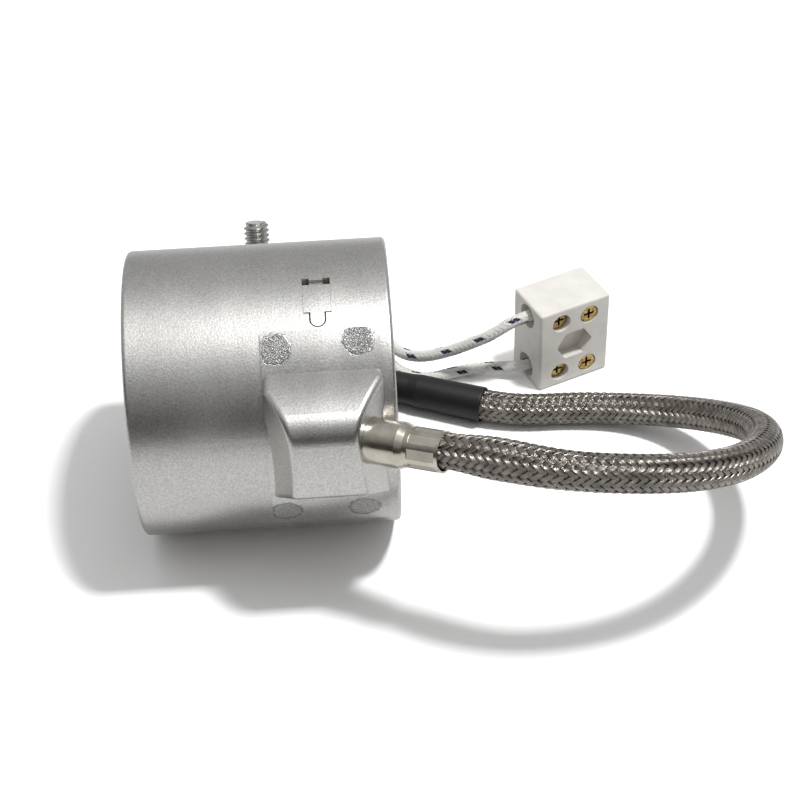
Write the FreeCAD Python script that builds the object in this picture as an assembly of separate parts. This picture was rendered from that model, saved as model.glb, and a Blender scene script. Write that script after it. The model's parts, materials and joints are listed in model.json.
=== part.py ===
"""Mica band heater, 60 mm bore by 60 mm wide, with a pressed terminal hood, a braided lead
and a two-pole ceramic connector.

Frame, in millimetres: the origin is the centre of the bore, +X runs along the bore's axis,
-Y is the hood's side and +Z is up. The heater lies on its side, so the band's outer surface
and the connector stand on the plane z = -band_radius.
An angle round the band is counted from the front (-Y) upwards: 90 is the top.
"""
import FreeCAD
import Part
import os
from math import asin, atan2, cos, degrees, pi, radians, sin, sqrt, tan

V = FreeCAD.Vector
X_AXIS = V(1, 0, 0)
ORIGIN = V(0, 0, 0)

# ---- band: the layers from the bore outwards -------------------------------------------------
bore_radius = 30.0
band_width = 60.0
sheath_wall = 0.5
inner_mica_wall = 0.66
core_wall = 0.44
outer_mica_wall = 0.8
jacket_wall = 0.6
layer_gap = 0.05              # between layers that touch
ribbon_thick = 0.12
ribbon_gap = 0.03             # between the ribbon and the core
ribbon_width = 2.2
ribbon_turns = 24
rim_radius = 1.0              # outer corner of the jacket's folded rims
mica_margin = 3.0             # from the mica's edge to the band's edge
core_margin = 4.5             # from the core's edge to the band's edge

# ---- clamp at the back ------------------------------------------------------------------------
screw_lean = 25.0             # the screw leans back from the vertical
clamp_shift = -0.9            # the clamp's middle along the band
knuckle_width = 30.0          # both knuckles and the slot between them
slot_gap = 0.4                # in the slot, round the screw's head
barrel_radius = 4.75
barrel_gap = 0.1              # between a barrel and its knuckle
barrel_spread = 7.8           # each barrel's centre from the middle of the band's split
barrel_chamfer = 0.6
knuckle_turn = 300.0
screw_radius = 3.175          # 1/4 inch, 20 threads to the inch
screw_length = 44.45          # 1 3/4 inch under the head
screw_chamfer = 0.8
head_radius = 4.75
head_height = 4.4
head_fillet = 0.6
socket_across = 4.76
socket_depth = 2.4
tapped_gap = 0.05             # radial, between the screw and its threaded barrel
plain_gap = 0.35              # radial, between the screw and its plain barrel
head_gap = 0.05
flat_depth = 0.55             # flat under the screw's head, cut into the plain barrel
layer_split = 6.0             # half angle of the split in the inner layers, in degrees

# ---- lock tab in its window --------------------------------------------------------------------
window_x = 13.55
window_width = 6.3
window_low = 67.7
window_high = 84.5
tongue_width = 3.1
tongue_tip = 62.3             # angle of the lower tongue's round end
tongue_top = 87.4             # angle of the upper tongue's end
tab_wall = 0.45
tab_gap = 0.35                # round the lower tongue and at the window's lower edge
tab_plate_high = 81.3         # the plate's upper edge, below the two open corners

# ---- terminal hood -------------------------------------------------------------------------------
hood_angle = 18.5             # angle of the hood's middle
hood_left = 0.6
hood_right = 27.2
hood_wall = 0.8
hood_height = 10.8            # its highest point over the band's crown
hood_reach = 27.1             # from the middle to the crease and the foot, in degrees
flange_top = 60.3             # angles of the flange's two ends
flange_bottom = -27.5
left_lean = 26.0              # the side walls lean in over the band
left_yaw = 6.0                # and the left one also towards the top
right_lean = 30.0
left_foot = 0.4               # how far inside hood_left its wall starts
right_foot = 0.3
hood_edge_fillet = 1.5
chin_fillet = 2.6
# The hood's outline: height over the band's crown, and distance up from the hood's middle.
hood_outline = {"top": (2.4, 12.8), "shoulder": (7.8, 9.4), "brow": (10.1, 6.4),
                "nose": (10.8, 2.6), "face": (9.8, -4.3), "chin": (7.6, -10.9)}

# ---- terminals under the hood ----------------------------------------------------------------------
stud_x = 8.5
stud_rise = 4.2               # each stud's distance from the hood's middle
stud_radius = 1.5
stud_height = 5.4             # over the band's crown
stud_hole_gap = 0.1
jacket_hole_radius = 3.2      # round each stud, so that it stays insulated
pad_wall = 0.8
pad_left = 3.6
pad_right = 14.0
pad_half_angle = 14.0
lug_ring_radius = 3.0
lug_thick = 0.7
lug_barrel_radius = 1.5
lug_barrel_length = 4.6
nut_across = 5.5
nut_height = 2.3
lug_nut_gap = 0.3
hood_wire_radius = 1.1
hood_wire_run = 2.6           # straight, out of the lug
hood_wire_spread = 0.6        # half the gap between the two wires in the ferrule

# ---- ferrule ----------------------------------------------------------------------------------------
ferrule_rise = 1.2            # its axis above the hood's middle
ferrule_height = 5.2          # its axis over the band's crown, at the wall
ferrule_radius = 5.2
ferrule_wall = 0.6
ferrule_collar = 0.45         # the swaged collar inside the wall, beyond the radius
ferrule_collar_length = 0.6
ferrule_gap = 0.1             # to the hood's wall, and to the jacket where the ferrule is trimmed
ferrule_plain = 7.7           # smooth length outside the wall
ferrule_taper = 1.6
ferrule_length = 17.8
crimp_radius = 4.6
crimp_groove_width = 2.3
crimp_groove_depth = 0.22
crimp_groove_start = 10.4
crimp_groove_end = 17.0
crimp_grooves = 8

# ---- leads -------------------------------------------------------------------------------------------
braid_radius = 4.1
braid_gap = 0.08              # round the braid's ends, in the ferrule and in the heat-shrink
braid_in_ferrule = 4.0
shrink_start = V(54.0, 21.6, 0)
shrink_end = V(25.4, 33.7, 0)
shrink_radii = (4.6, 4.45, 4.15)   # at its braid end, in its middle, at its lead end
shrink_fillet = 0.5
shrink_over_braid = 8.0
shrink_over_leads = 5.0
lead_radius = 1.55
lead_spread = 1.62            # each lead's axis from the heat-shrink's axis, one over the other
lead_hole_gap = 0.05
conductor_radius = 0.8
conductor_length = 6.6
lead_run = 2.8                # straight, out of the heat-shrink
lead_approach = {1: 3.6, 2: 1.6}   # straight, before the connector's face
arc_share = 0.45              # of the shorter run that an arc takes up

# ---- ceramic connector -------------------------------------------------------------------------------
block_corner = V(69.5, 31.0, 0)    # its front left foot
block_yaw = 23.3
block_width = 20.4
block_depth = 14.0
block_height = 24.4
block_fillet = 0.7
pole_spread = 8.0             # each pole's height from the block's middle
screw_spread = 4.1            # each screw's distance from the block's middle
funnel_radius = 3.3
funnel_depth = 2.6
insert_radius = 2.9
insert_gap = 0.05
insert_bore = 1.7
insert_stop = 0.8             # wall in the middle of the insert, between the two wires
screw_hole_radius = 2.6
pin_radius = 1.7              # shank of a terminal screw
pin_gap = 0.05
pin_head_radius = 2.3
pin_head_height = 2.4
cross_width = 0.6
cross_depth = 0.9
tight_depth = 1.5             # head of a screw that holds a lead, below the block's face
open_depth = 0.35             # head of a screw that waits for a supply wire
tip_gap = 0.1
recess_half_width = 5.2
recess_half_height = 4.0
recess_shoulder = 2.7         # half length of the recess's flat sides
recess_depth = 3.2

# ---- worked out ------------------------------------------------------------------------------------
sheath_radius = bore_radius + sheath_wall
inner_mica_radius = sheath_radius + layer_gap
core_radius = inner_mica_radius + inner_mica_wall + layer_gap + ribbon_thick + ribbon_gap
core_outside = core_radius + core_wall
outer_mica_radius = core_outside + ribbon_gap + ribbon_thick + layer_gap
jacket_inside = outer_mica_radius + outer_mica_wall + layer_gap
band_radius = jacket_inside + jacket_wall
half_width = band_width / 2
floor = -band_radius

knuckle_inside = barrel_radius + barrel_gap
knuckle_outside = knuckle_inside + jacket_wall
barrel_orbit = jacket_inside + knuckle_outside        # a barrel's centre from the band's axis
split_angle = degrees(asin(barrel_spread / barrel_orbit))
barrel_y = barrel_orbit * cos(radians(split_angle))
head_seat = -barrel_spread - barrel_radius + flat_depth - head_gap


def at(radius, angle, x=0.0):
    """The point at a radius and an angle round the band."""
    return V(x, -radius * cos(radians(angle)), radius * sin(radians(angle)))


def turn_to(shape, angle):
    """Turns what was modelled at the front up to an angle round the band."""
    turned = shape.copy()
    turned.rotate(ORIGIN, X_AXIS, -angle)
    return turned


def clamp_frame(shape):
    """Turns what was modelled with its screw upright at the back to the screw's real lean."""
    turned = shape.copy()
    turned.rotate(ORIGIN, X_AXIS, -screw_lean)
    return turned


def cylinder(radius, length, base, direction):
    return Part.makeCylinder(radius, length, base, direction)


def ring(inside, outside, low, high, left, right):
    """A piece of tube round the band, between two angles and two places along it."""
    start = at(1.0, low)
    corners = [start * inside, start * outside]
    points = [corners[0] + X_AXIS * left, corners[1] + X_AXIS * left,
              corners[1] + X_AXIS * right, corners[0] + X_AXIS * right]
    face = Part.Face(Part.makePolygon(points + points[:1]))
    return face.revolve(ORIGIN, X_AXIS, low - high)


def layer(inside, wall, half_split, margin=0.0):
    """One C-shaped layer of the band, open at the clamp."""
    middle = 180.0 + screw_lean
    return ring(inside, inside + wall, middle + half_split - 360.0, middle - half_split,
                margin - half_width, half_width - margin)


# ---- band ------------------------------------------------------------------------------------------
def rim_profile():
    """Section of the jacket with its edges folded down over the layers, at the back (+Y)."""
    edge = half_width
    inner_edge = half_width - jacket_wall
    foot = sheath_radius + layer_gap
    bend = rim_radius * (1 - cos(pi / 4))
    inner = max(rim_radius - jacket_wall, 0.1)
    inner_bend = inner * (1 - cos(pi / 4))

    def arc(sign, side, radius, size, drop):
        return Part.Arc(V(sign * (side - size), radius, 0), V(sign * (side - drop), radius - drop, 0),
                        V(sign * side, radius - size, 0)).toShape()

    edges = [Part.LineSegment(V(rim_radius - edge, band_radius, 0),
                              V(edge - rim_radius, band_radius, 0)).toShape()]
    for sign in (1, -1):
        edges.append(arc(sign, edge, band_radius, rim_radius, bend))
        edges.append(arc(sign, inner_edge, jacket_inside, inner, inner_bend))
        for start, end in (((edge, band_radius - rim_radius), (edge, foot)),
                           ((edge, foot), (inner_edge, foot)),
                           ((inner_edge, foot), (inner_edge, jacket_inside - inner))):
            edges.append(Part.LineSegment(V(sign * start[0], start[1], 0),
                                          V(sign * end[0], end[1], 0)).toShape())
    edges.append(Part.LineSegment(V(inner_edge - inner, jacket_inside, 0),
                                  V(inner - inner_edge, jacket_inside, 0)).toShape())
    return Part.Face(Part.Wire(Part.__sortEdges__(edges)))


def knuckles(side):
    """The jacket's end, rolled outwards round a barrel and slotted for the screw."""
    centre = V(0, barrel_y, side * barrel_spread)
    inward = V(0, -barrel_y, -side * barrel_spread).normalize()
    left = X_AXIS * (clamp_shift - knuckle_width / 2)
    right = X_AXIS * (clamp_shift + knuckle_width / 2)
    near, far = centre + inward * knuckle_inside, centre + inward * knuckle_outside
    face = Part.Face(Part.makePolygon([near + left, far + left, far + right, near + right, near + left]))
    roll = face.revolve(centre, X_AXIS, side * knuckle_turn)
    slot_floor = band_radius * cos(radians(split_angle)) + jacket_wall / 2
    slot_half = head_radius + slot_gap
    slot = Part.makeBox(2 * slot_half, band_radius, 4 * band_radius,
                        V(clamp_shift - slot_half, slot_floor, -2 * band_radius))
    return roll.cut(slot)


def window_cut(inside, outside):
    """The lock tab's window, with the notch that its lower tongue lies in."""
    left, right = window_x - window_width / 2, window_x + window_width / 2
    window = ring(inside, outside, window_low, window_high, left, right)
    notch = tongue_width / 2 + tab_gap
    tip_centre = tongue_tip + degrees(tongue_width / 2 / band_radius)
    channel = ring(inside, outside, tip_centre, window_low + 1, window_x - notch, window_x + notch)
    end = cylinder(notch, 2 * (outside - inside), at(inside, tip_centre, window_x), at(1, tip_centre))
    end = end.common(ring(inside, outside, tip_centre - 10, tip_centre + 10, left, right))
    return window.fuse([channel, end])


def stud_holes(radius, inside, outside):
    """Holes through the layers under the hood, one for each terminal stud."""
    holes = []
    for side in (1, -1):
        base = V(stud_x, -inside, side * stud_rise)
        holes.append(turn_to(cylinder(radius, outside - inside, base, V(0, -1, 0)), hood_angle))
    return holes


def outer_jacket():
    start = degrees(asin(barrel_spread / barrel_orbit))
    profile = rim_profile()
    profile.rotate(ORIGIN, X_AXIS, start)
    shell = profile.revolve(ORIGIN, X_AXIS, 360 - 2 * start)
    shell = shell.fuse([knuckles(1), knuckles(-1)])
    shell = clamp_frame(shell.removeSplitter())
    cuts = [window_cut(jacket_inside - 1, band_radius + 1)]
    cuts += stud_holes(jacket_hole_radius, jacket_inside - 1, band_radius + 2)
    return shell.cut(cuts)


def inner_sheath():
    return layer(bore_radius, sheath_wall, layer_split)


def inner_mica():
    return layer(inner_mica_radius, inner_mica_wall, layer_split, mica_margin)


def mica_core():
    return layer(core_radius, core_wall, layer_split, core_margin)


def outer_mica():
    sheet = layer(outer_mica_radius, outer_mica_wall, layer_split, mica_margin)
    cuts = [window_cut(outer_mica_radius - 1, jacket_inside + 1)]
    cuts += stud_holes(stud_radius + stud_hole_gap, outer_mica_radius - 1, jacket_inside + 1)
    return sheet.cut(cuts)


def resistance_ribbon():
    """Flat ribbon wound round the core's edges: across its outside, and back across its inside."""
    edge = half_width - core_margin + layer_gap
    outer, inner = core_outside + ribbon_gap, core_radius - ribbon_gap
    outside, inside = outer + ribbon_thick, inner - ribbon_thick
    usable = 360.0 - 4 * layer_split
    first = 180.0 + screw_lean + 2 * layer_split - 360.0
    pitch = usable / ribbon_turns
    half = degrees(ribbon_width / 2 / core_radius)
    strips = []
    for turn in range(ribbon_turns):
        across = first + (turn + 0.25) * pitch
        back = across + pitch / 2
        strips.append(ring(outer, outside, across - half, across + half, -edge, edge))
        strips.append(ring(inside, inner, back - half, back + half, -edge, edge))
        strips.append(ring(inside, outside, across - half, back + half, edge, edge + ribbon_thick))
        if turn < ribbon_turns - 1:
            strips.append(ring(inside, outside, back - half, across + pitch + half,
                               -edge - ribbon_thick, -edge))
    return strips[0].fuse(strips[1:])


def lock_tab():
    """Plate that fills the window, one tongue laid over the jacket and one in its notch."""
    low_radius = jacket_inside
    top_radius = band_radius + layer_gap
    half_plate = window_width / 2 - layer_gap
    half_tongue = tongue_width / 2
    gap_angle = degrees(tab_gap / band_radius)
    tip_centre = tongue_tip + degrees(half_tongue / band_radius)
    plate = ring(low_radius, low_radius + tab_wall, window_low + gap_angle, tab_plate_high,
                 window_x - half_plate, window_x + half_plate)
    step = ring(low_radius, top_radius + tab_wall, tab_plate_high + 1.4, window_high - 0.2,
                window_x - half_tongue, window_x + half_tongue)
    neck = ring(low_radius, low_radius + tab_wall, tab_plate_high - 1, window_high - 0.2,
                window_x - half_tongue, window_x + half_tongue)
    lap = ring(top_radius, top_radius + tab_wall, window_high - 1.5, tongue_top,
               window_x - half_tongue, window_x + half_tongue)
    lower = ring(low_radius, low_radius + tab_wall, tip_centre, window_low + 1,
                 window_x - half_tongue, window_x + half_tongue)
    tip = cylinder(half_tongue, 2, at(low_radius - 0.5, tip_centre, window_x), at(1, tip_centre))
    tip = tip.common(ring(low_radius, low_radius + tab_wall, tip_centre - 8, tip_centre + 8,
                          window_x - half_tongue, window_x + half_tongue))
    return plate.fuse([step, neck, lap, lower, tip]).removeSplitter()


# ---- clamp -----------------------------------------------------------------------------------------
def barrel(side, hole_radius):
    length = knuckle_width
    start = V(clamp_shift - length / 2, barrel_y, side * barrel_spread)
    pin = cylinder(barrel_radius, length, start, X_AXIS)
    pin = pin.makeChamfer(barrel_chamfer, [e for e in pin.Edges if isinstance(e.Curve, Part.Circle)])
    hole = cylinder(hole_radius, 4 * barrel_radius,
                    V(clamp_shift, barrel_y, side * barrel_spread - 2 * barrel_radius), V(0, 0, 1))
    return pin.cut(hole)


def plain_barrel():
    pin = barrel(-1, screw_radius + plain_gap)
    bottom = -barrel_spread - barrel_radius
    flat = cylinder(head_radius + 2 * head_gap, 2 * flat_depth,
                    V(clamp_shift, barrel_y, bottom - flat_depth), V(0, 0, 1))
    return clamp_frame(pin.cut(flat))


def threaded_barrel():
    return clamp_frame(barrel(1, screw_radius + tapped_gap))


def hexagon(across, height, base, direction):
    """A hexagonal prism, from its width across the flats."""
    radius = across / sqrt(3)
    points = [V(radius * cos(radians(60 * k)), radius * sin(radians(60 * k)), 0) for k in range(7)]
    prism = Part.Face(Part.makePolygon(points)).extrude(V(0, 0, height))
    prism.Placement = FreeCAD.Placement(base, FreeCAD.Rotation(V(0, 0, 1), direction))
    return prism


def clamp_screw():
    axis = V(clamp_shift, barrel_y, 0)
    shank = cylinder(screw_radius, screw_length, axis + V(0, 0, head_seat), V(0, 0, 1))
    tip = [e for e in shank.Edges if e.BoundBox.ZMin > head_seat + screw_length - 0.01]
    shank = shank.makeChamfer(screw_chamfer, tip)
    head = cylinder(head_radius, head_height, axis + V(0, 0, head_seat - head_height), V(0, 0, 1))
    rim = [e for e in head.Edges if e.BoundBox.ZMax < head_seat - head_height + 0.01]
    head = head.makeFillet(head_fillet, rim)
    socket = hexagon(socket_across, 2 * socket_depth, axis + V(0, 0, head_seat - head_height - socket_depth),
                     V(0, 0, 1))
    return clamp_frame(shank.fuse(head).cut(socket))


# ---- terminal hood ---------------------------------------------------------------------------------
def hood_profile(inset):
    """Side outline of the hood, closed inside the band, moved inwards by a wall's thickness."""
    def outline_point(name):
        height, rise = hood_outline[name]
        return V(0, -(band_radius + height), rise)

    crease, foot = at(band_radius, hood_reach), at(band_radius, -hood_reach)
    top, shoulder, brow, nose, face, chin = (outline_point(name) for name in hood_outline)
    deep_top = crease + (crease - top)
    deep_foot = foot + (foot - chin) * 0.5
    edges = [Part.LineSegment(deep_top, crease).toShape(), Part.Arc(crease, top, shoulder).toShape(),
             Part.Arc(shoulder, brow, nose).toShape(), Part.Arc(nose, face, chin).toShape(),
             Part.LineSegment(chin, deep_foot).toShape(), Part.LineSegment(deep_foot, deep_top).toShape()]
    wire = Part.Wire(edges)
    if inset:
        wire = wire.makeOffset2D(-inset)
    return Part.Face(wire)


def lean_cut(x, side, lean, yaw, inset):
    """The space outside a side wall that leans in over the band from its foot at x."""
    size = 4 * band_radius
    box = Part.makeBox(size, size, size, V(0, -size / 2, -size / 2))
    box.rotate(ORIGIN, V(0, 0, 1), -lean)
    box.rotate(ORIGIN, V(0, 1, 0), yaw)
    if side < 0:
        box = box.mirror(ORIGIN, X_AXIS)
    normal_shift = inset / cos(radians(lean))
    box.translate(V(x - side * normal_shift, -band_radius, 0))
    return box


def hood_block(inset):
    """The hood's outer form, or with an inset the space inside it, with its folds rounded."""
    left, right = hood_left + inset, hood_right - inset
    block = hood_profile(inset).extrude(X_AXIS * (right - left))
    block.translate(X_AXIS * left)
    chin = [edge for edge in block.Edges if edge.BoundBox.XLength > hood_height
            and edge.BoundBox.YMax < -band_radius and edge.BoundBox.ZMax < -hood_height / 2]
    block = block.makeFillet(chin_fillet - inset, chin)
    block = block.cut([lean_cut(hood_right - right_foot, 1, right_lean, 0, inset),
                       lean_cut(hood_left + left_foot, -1, left_lean, left_yaw, inset)])
    crease = at(band_radius - inset, hood_reach).y
    sides = [edge for edge in block.Edges
             if edge.BoundBox.XLength < hood_height and edge.BoundBox.YMax < crease + layer_gap]
    return block.makeFillet(hood_edge_fillet - inset, sides)


def terminal_hood():
    opening = turn_to(hood_block(hood_wall), hood_angle)
    shell = turn_to(hood_block(0.0), hood_angle).cut(opening)
    flange = ring(band_radius, band_radius + hood_wall, flange_bottom, flange_top, hood_left, hood_right)
    shell = shell.fuse(flange.cut(opening))
    shell = shell.cut([cylinder(band_radius, 2 * band_width, V(-band_width, 0, 0), X_AXIS),
                       ferrule_form(ferrule_radius + braid_gap / 2, -4.0, 6.0)])
    return shell.removeSplitter()


# ---- ferrule ---------------------------------------------------------------------------------------
def hood_vector(x, out, up):
    """A vector given along the band, outwards at the hood's middle and up along the hood."""
    middle = radians(hood_angle)
    return V(x, -out * cos(middle) + up * sin(middle), out * sin(middle) + up * cos(middle))


wall_x = hood_right - right_foot - ferrule_height * tan(radians(right_lean))
ferrule_base = hood_vector(wall_x, band_radius + ferrule_height, ferrule_rise)
ferrule_axis = hood_vector(cos(radians(right_lean)), sin(radians(right_lean)), 0)


def along_ferrule(distance):
    return ferrule_base + ferrule_axis * distance


def ferrule_form(radius, start, end):
    return cylinder(radius, end - start, along_ferrule(start), ferrule_axis)


def ferrule_revolve(stations):
    """A solid of revolution on the ferrule's axis, from pairs of distance and radius."""
    points = [V(stations[0][0], 0, 0)] + [V(s, r, 0) for s, r in stations] + [V(stations[-1][0], 0, 0)]
    solid = Part.Face(Part.makePolygon(points + points[:1])).revolve(ORIGIN, X_AXIS, 360)
    solid.Placement = FreeCAD.Placement(ferrule_base, FreeCAD.Rotation(X_AXIS, ferrule_axis))
    return solid


def ferrule():
    wall_side = -hood_wall - ferrule_gap
    taper_end = ferrule_plain + ferrule_taper
    outer = ferrule_revolve([(wall_side - ferrule_collar_length, ferrule_radius + ferrule_collar),
                             (wall_side, ferrule_radius + ferrule_collar), (wall_side, ferrule_radius),
                             (ferrule_plain, ferrule_radius), (taper_end, crimp_radius),
                             (ferrule_length, crimp_radius)])
    bore = ferrule_revolve([(wall_side - 2 * ferrule_collar_length, ferrule_radius - ferrule_wall),
                            (ferrule_plain - ferrule_wall, ferrule_radius - ferrule_wall),
                            (taper_end - ferrule_wall, braid_radius + braid_gap),
                            (ferrule_length + 1, braid_radius + braid_gap)])
    grooves = []
    for k in range(crimp_grooves):
        groove = Part.makeBox(crimp_groove_end - crimp_groove_start, crimp_groove_width, 2,
                              V(crimp_groove_start, -crimp_groove_width / 2,
                                crimp_radius - crimp_groove_depth))
        groove.rotate(ORIGIN, X_AXIS, 360 * (k + 0.5) / crimp_grooves)
        groove.Placement = FreeCAD.Placement(ferrule_base, FreeCAD.Rotation(X_AXIS, ferrule_axis)
                                             ).multiply(groove.Placement)
        grooves.append(groove)
    trim = cylinder(band_radius + ferrule_gap, 2 * band_width, V(-band_width, 0, 0), X_AXIS)
    return outer.cut(bore).cut(grooves + [trim])


# ---- terminals under the hood ----------------------------------------------------------------------
def terminal_pad():
    pad = ring(band_radius + layer_gap, band_radius + pad_wall, hood_angle - pad_half_angle,
               hood_angle + pad_half_angle, pad_left, pad_right)
    return pad.cut(stud_holes(stud_radius + stud_hole_gap, band_radius - 1, band_radius + 3))


def terminal_stud(side):
    foot = outer_mica_radius + 2 * layer_gap
    length = band_radius + stud_height - foot
    stud = cylinder(stud_radius, length, V(stud_x, -foot, side * stud_rise), V(0, -1, 0))
    return turn_to(stud, hood_angle)


lug_barrel_x = stud_x + nut_across / sqrt(3) + lug_nut_gap
lug_mouth = lug_barrel_x + lug_barrel_length


def lead_lug(side):
    base = V(stud_x, -(band_radius + pad_wall + layer_gap), side * stud_rise)
    plate = cylinder(lug_ring_radius, lug_thick, base, V(0, -1, 0))
    tongue = Part.makeBox(lug_barrel_x - stud_x + lug_thick, lug_thick, 2 * lug_barrel_radius,
                          V(stud_x, base.y - lug_thick, base.z - lug_barrel_radius))
    crimp = cylinder(lug_barrel_radius, lug_barrel_length,
                     V(lug_barrel_x, base.y - lug_barrel_radius, base.z), X_AXIS)
    hole = cylinder(stud_radius + stud_hole_gap, 4 * lug_thick, base + V(0, lug_thick, 0), V(0, -1, 0))
    wire_hole = cylinder(hood_wire_radius + layer_gap, lug_barrel_length,
                         V(lug_barrel_x + lug_thick, base.y - lug_barrel_radius, base.z), X_AXIS)
    return turn_to(plate.fuse([tongue, crimp]).cut([hole, wire_hole]), hood_angle)


def terminal_nut(side):
    base = V(stud_x, -(band_radius + pad_wall + lug_thick + 2 * layer_gap), side * stud_rise)
    nut = hexagon(nut_across, nut_height, base, V(0, -1, 0))
    hole = cylinder(stud_radius + layer_gap, nut_height + 2, base + V(0, 1, 0), V(0, -1, 0))
    return turn_to(nut.cut(hole), hood_angle)


def hood_wire(side):
    """Lead from a lug's crimp into the ferrule."""
    lug_out = band_radius + pad_wall + layer_gap + lug_barrel_radius
    spread = side * (hood_wire_radius + hood_wire_spread)
    crimped = lug_barrel_length * 0.7
    mouth = along_ferrule(-hood_wall) + hood_vector(0, 0, spread)
    inner = along_ferrule(ferrule_plain * 0.7) + hood_vector(0, 0, spread)
    points = [hood_vector(lug_mouth - crimped, lug_out, side * stud_rise),
              hood_vector(lug_mouth + hood_wire_run, lug_out, side * stud_rise), mouth, inner]
    return tube(points, hood_wire_radius)


# ---- cords ------------------------------------------------------------------------------------------
def tube(points, radius, name=None):
    """A round cord along straight runs joined by tangent arcs, as large as the runs allow."""
    edges, radii, start = [], [], points[0]
    for before, corner, after in zip(points, points[1:], points[2:]):
        run_in, run_out = corner - before, after - corner
        half_turn = run_in.getAngle(run_out) / 2
        setback = arc_share * min(run_in.Length, run_out.Length)
        bend = setback / tan(half_turn)
        run_in.normalize()
        run_out.normalize()
        arc_start, arc_end = corner - run_in * setback, corner + run_out * setback
        inward = (run_out - run_in).normalize()
        middle = corner + inward * (bend / cos(half_turn) - bend)
        edges += [Part.LineSegment(start, arc_start).toShape(),
                  Part.Arc(arc_start, middle, arc_end).toShape()]
        start = arc_end
        radii.append(bend)
    edges.append(Part.LineSegment(start, points[-1]).toShape())
    path = Part.Wire(edges)
    section = Part.Wire(Part.makeCircle(radius, points[0], points[1] - points[0]))
    solid = path.makePipeShell([section], True, False)
    if name:
        ratio = solid.Volume / (pi * radius ** 2 * path.Length)
        print(name, "length %.1f" % path.Length, "volume over section times length %.4f" % ratio,
              "bend radii", " ".join("%.1f" % r for r in radii))
    return solid


shrink_height = floor + shrink_radii[0] + 0.05
shrink_along = (shrink_end - shrink_start).normalize()
shrink_length = (shrink_end - shrink_start).Length


def on_shrink(distance, up=0.0):
    return shrink_start + shrink_along * distance + V(0, 0, shrink_height + up)


# The braid stands out from the ferrule in a stiff open loop and comes down on the floor
# before it goes into the heat-shrink.
braid_route = [
    along_ferrule(ferrule_length - braid_in_ferrule),
    along_ferrule(ferrule_length + 10.0),
    V(63.0, -55.3, 18.6),
    V(78.0, -55.8, 16.8),
    V(92.5, -52.3, 12.8),
    V(104.8, -43.8, 6.8),
    V(113.2, -31.5, 0.0),
    V(116.0, -17.0, -8.0),
    V(112.0, -2.5, -17.0),
    V(103.5, 9.2, -24.4),
    V(91.5, 16.4, -28.6),
    V(77.5, 19.0, -29.3),
    V(64.5, 19.0, -29.2),
    on_shrink(-1.0),
    on_shrink(shrink_over_braid),
]
# Each lead turns back behind the band and runs to its pole of the connector; lead 1 lies
# over lead 2 where they cross.
lead_routes = {
    1: [V(12.9, 38.8, -28.0), V(9.9, 46.7, -28.4), V(13.5, 54.3, -28.6), V(21.4, 57.0, -28.6),
        V(28.9, 53.2, -28.6), V(34.0, 43.4, -28.4), V(40.0, 39.6, -26.7), V(46.3, 38.1, -24.1),
        V(52.0, 36.7, -20.8), V(57.4, 35.5, -17.3)],
    2: [V(10.5, 39.8, -31.8), V(7.7, 48.2, -31.9), V(11.9, 55.9, -31.9), V(20.5, 57.9, -31.9),
        V(27.8, 52.8, -31.9), V(33.0, 39.6, -31.9), V(40.4, 36.6, -31.9), V(47.6, 38.8, -31.8),
        V(54.8, 39.6, -31.4), V(61.0, 38.0, -30.3)],
}


def braided_sleeve():
    return tube(braid_route, braid_radius, "braided_sleeve")


def heat_shrink():
    """Sleeve shrunk over the braid's end and over the two leads that come out of it."""
    thick, middle, thin = shrink_radii
    length = shrink_length
    stations = [(0, thick), (0.42 * length, middle), (0.56 * length, middle), (0.64 * length, thin),
                (length, thin)]
    points = [V(0, 0, 0)] + [V(s, r, 0) for s, r in stations] + [V(length, 0, 0)]
    body = Part.Face(Part.makePolygon(points + points[:1])).revolve(ORIGIN, X_AXIS, 360)
    ends = [e for e in body.Edges if isinstance(e.Curve, Part.Circle)
            and (e.BoundBox.XMax < 0.01 or e.BoundBox.XMin > length - 0.01)]
    body = body.makeFillet(shrink_fillet, ends)
    cuts = [cylinder(braid_radius + braid_gap, shrink_over_braid + 1.2, V(-1, 0, 0), X_AXIS)]
    for side in (1, -1):
        cuts.append(cylinder(lead_radius + lead_hole_gap, shrink_over_leads + 1.2,
                             V(length - shrink_over_leads - 0.2, 0, side * lead_spread), X_AXIS))
    body = body.cut(cuts)
    body.Placement = FreeCAD.Placement(on_shrink(0), FreeCAD.Rotation(V(0, 0, 1), degrees(
        atan2(shrink_along.y, shrink_along.x))))
    return body


# ---- ceramic connector -------------------------------------------------------------------------------
def place_block(shape):
    """Stands what was modelled along X, into +Y and up from its foot where the connector stands."""
    placed = shape.copy()
    placed.rotate(ORIGIN, V(0, 0, 1), block_yaw)
    placed.translate(block_corner + V(0, 0, floor))
    return placed


def block_point(along, into, up):
    turn = radians(block_yaw)
    return block_corner + V(along * cos(turn) - into * sin(turn),
                            along * sin(turn) + into * cos(turn), floor + up)


pole_heights = {1: block_height / 2 + pole_spread, 2: block_height / 2 - pole_spread}
screw_places = {"lead": block_width / 2 - screw_spread, "supply": block_width / 2 + screw_spread}
insert_start = funnel_depth + insert_gap
insert_length = block_width - 2 * insert_start
bore_depth = block_depth / 2


def lead(pole):
    """One insulated lead, from the heat-shrink to its bare end in its pole of the connector."""
    height = pole_heights[pole]
    rise = lead_spread if pole == 1 else -lead_spread
    exit_run = [on_shrink(shrink_length - shrink_over_leads, rise), on_shrink(shrink_length + lead_run, rise)]
    end = block_point(insert_start - insert_gap, bore_depth, height)
    entry_run = [block_point(-lead_approach[pole], bore_depth, height), end]
    insulation = tube(exit_run + lead_routes[pole] + entry_run, lead_radius, "lead_%d" % pole)
    along = (end - entry_run[0]).normalize()
    return insulation.fuse(cylinder(conductor_radius, conductor_length, end, along))


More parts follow.
